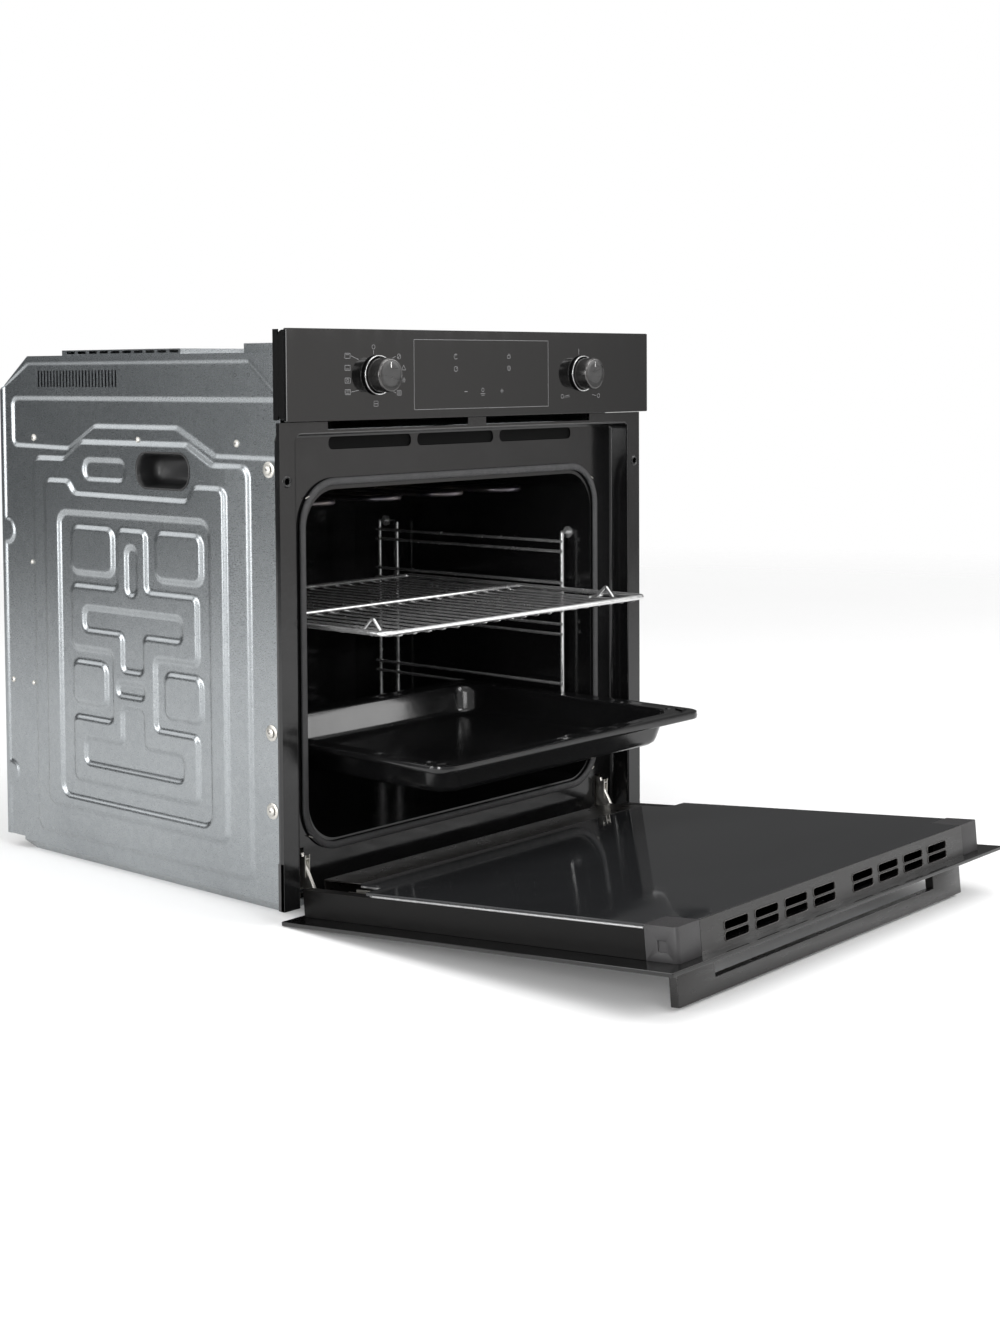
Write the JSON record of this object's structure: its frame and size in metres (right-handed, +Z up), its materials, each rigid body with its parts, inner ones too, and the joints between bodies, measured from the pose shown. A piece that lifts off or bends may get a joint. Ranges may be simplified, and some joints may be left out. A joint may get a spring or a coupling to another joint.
{
  "type": "wall oven",
  "caption": "Built-in wall oven with a drop-down glass door standing open, push-in control knobs, a wire shelf and a deep tray on side racks, in a galvanised body.",
  "frame": {"origin": "centre of the flat underside of the base pan, on which the oven stands in its cabinet", "axes": "+X to the right seen from the front, +Y from the front to the back, +Z up"},
  "size_m": [0.595, 1.0091, 0.6088],
  "materials": {
    "galvanised_steel": "bare galvanised sheet, satin with a fine spangle",
    "black_enamel": "glossy black vitreous enamel",
    "black_glass": "black-printed toughened glass, glossy",
    "clear_glass": "clear toughened glass",
    "dark_glass": "dark coated toughened glass, glossy",
    "black_plastic": "moulded black plastic, fine matt grain",
    "grey_plastic": "moulded dark grey plastic, matt",
    "black_metal": "black painted metal, satin",
    "knob_black": "glossy black with a metallic face",
    "chrome": "bright chromium plate",
    "zinc_steel": "zinc-plated steel, worn satin",
    "heater_steel": "dark heat-tinted stainless tube",
    "gasket_rubber": "dark grey silicone seal",
    "glass_wool": "yellowish glass-wool blanket",
    "aluminium": "plain aluminium",
    "circuit_plastic": "dark electronics housing"
  },
  "bodies": {
    "root": {"bottom_pan": "galvanised_steel", "right_side_panel": "galvanised_steel", "left_side_panel": "galvanised_steel", "rear_panel": "galvanised_steel", "top_cover": "galvanised_steel", "vent_hood": "galvanised_steel", "duct_plate": "galvanised_steel", "grip_cups": "black_plastic", "body_screws": "zinc_steel", "terminal_box": "black_plastic", "cable_gland": "black_plastic", "front_frame": "black_enamel", "front_crossmember": "galvanised_steel", "fascia_glass": "black_glass", "fascia_chassis": "black_plastic", "display_module": "circuit_plastic", "knob_bezels": "chrome", "function_switch": "black_plastic", "temperature_switch": "black_plastic", "left_liner": "black_enamel", "right_liner": "black_enamel", "floor_liner": "black_enamel", "ceiling_liner": "black_enamel", "back_liner": "black_enamel", "insulation": "glass_wool", "fan_cover": "black_enamel", "ring_element": "heater_steel", "grill_element": "heater_steel", "bottom_element": "heater_steel", "right_rack": "chrome", "left_rack": "chrome", "door_gasket": "gasket_rubber", "fan_motor": "zinc_steel", "cooling_duct": "galvanised_steel", "blower_housing": "galvanised_steel", "blower_motor": "zinc_steel", "lamp_housing": "zinc_steel", "lamp_glass": "clear_glass", "temperature_probe": "heater_steel", "hinge_receivers": "zinc_steel", "hinge_arms": "zinc_steel"},
    "function_shaft": {"function_shaft": "zinc_steel"},
    "function_knob": {"function_knob": "knob_black"},
    "temperature_shaft": {"temperature_shaft": "zinc_steel"},
    "temperature_knob": {"temperature_knob": "knob_black"},
    "convection_fan": {"convection_fan": "aluminium"},
    "blower_rotor": {"blower_rotor": "aluminium"},
    "shelf": {"wire_shelf": "chrome"},
    "tray": {"baking_tray": "black_enamel"},
    "left_clip": {"left_hinge_clip": "zinc_steel"},
    "right_clip": {"right_hinge_clip": "zinc_steel"},
    "door": {"door_outer_glass": "black_glass", "door_inner_glass": "dark_glass", "door_middle_glass": "clear_glass", "door_side_channels": "black_metal", "door_top_rail": "black_metal", "door_bottom_rail": "black_metal", "door_corner_caps": "grey_plastic", "door_handle": "black_metal", "hinge_channels": "zinc_steel"}
  },
  "joints": [
    {"name": "door_hinge", "type": "hinge", "parent": "root", "child": "door", "pos_m": [0, -0.2582, 0.0175], "axis": [-1, 0, 0], "range_deg": [0, 84.7]},
    {"name": "shelf_slide", "type": "slide", "parent": "root", "child": "shelf", "axis": [0, 1, 0], "range_m": [0, 0.102]},
    {"name": "tray_slide", "type": "slide", "parent": "root", "child": "tray", "axis": [0, 1, 0], "range_m": [0, 0.191]},
    {"name": "function_turn", "type": "hinge", "parent": "root", "child": "function_shaft", "pos_m": [-0.17, -0.275, 0.561], "axis": [0, -1, 0], "continuous": true},
    {"name": "function_push", "type": "slide", "parent": "function_shaft", "child": "function_knob", "axis": [0, 1, 0], "range_m": [0, 0.018]},
    {"name": "temperature_turn", "type": "hinge", "parent": "root", "child": "temperature_shaft", "pos_m": [0.17, -0.275, 0.561], "axis": [0, -1, 0], "continuous": true},
    {"name": "temperature_push", "type": "slide", "parent": "temperature_shaft", "child": "temperature_knob", "axis": [0, 1, 0], "range_m": [0, 0.018]},
    {"name": "fan_spin", "type": "hinge", "parent": "root", "child": "convection_fan", "pos_m": [0, 0.169, 0.2555], "axis": [0, -1, 0], "continuous": true},
    {"name": "blower_spin", "type": "hinge", "parent": "root", "child": "blower_rotor", "pos_m": [0, 0.1, 0.539], "axis": [1, 0, 0], "continuous": true},
    {"name": "left_clip_turn", "type": "hinge", "parent": "root", "child": "left_clip", "pos_m": [-0.25, -0.243, 0.043], "axis": [1, 0, 0], "range_deg": [0, 40]},
    {"name": "right_clip_turn", "type": "hinge", "parent": "root", "child": "right_clip", "pos_m": [0.25, -0.243, 0.043], "axis": [1, 0, 0], "range_deg": [0, 40]}
  ],
  "couplings": [
    {"joint": "shelf_slide", "follows": "door_hinge", "m_per_rad": 0.067984},
    {"joint": "tray_slide", "follows": "door_hinge", "m_per_rad": 0.12785}
  ]
}
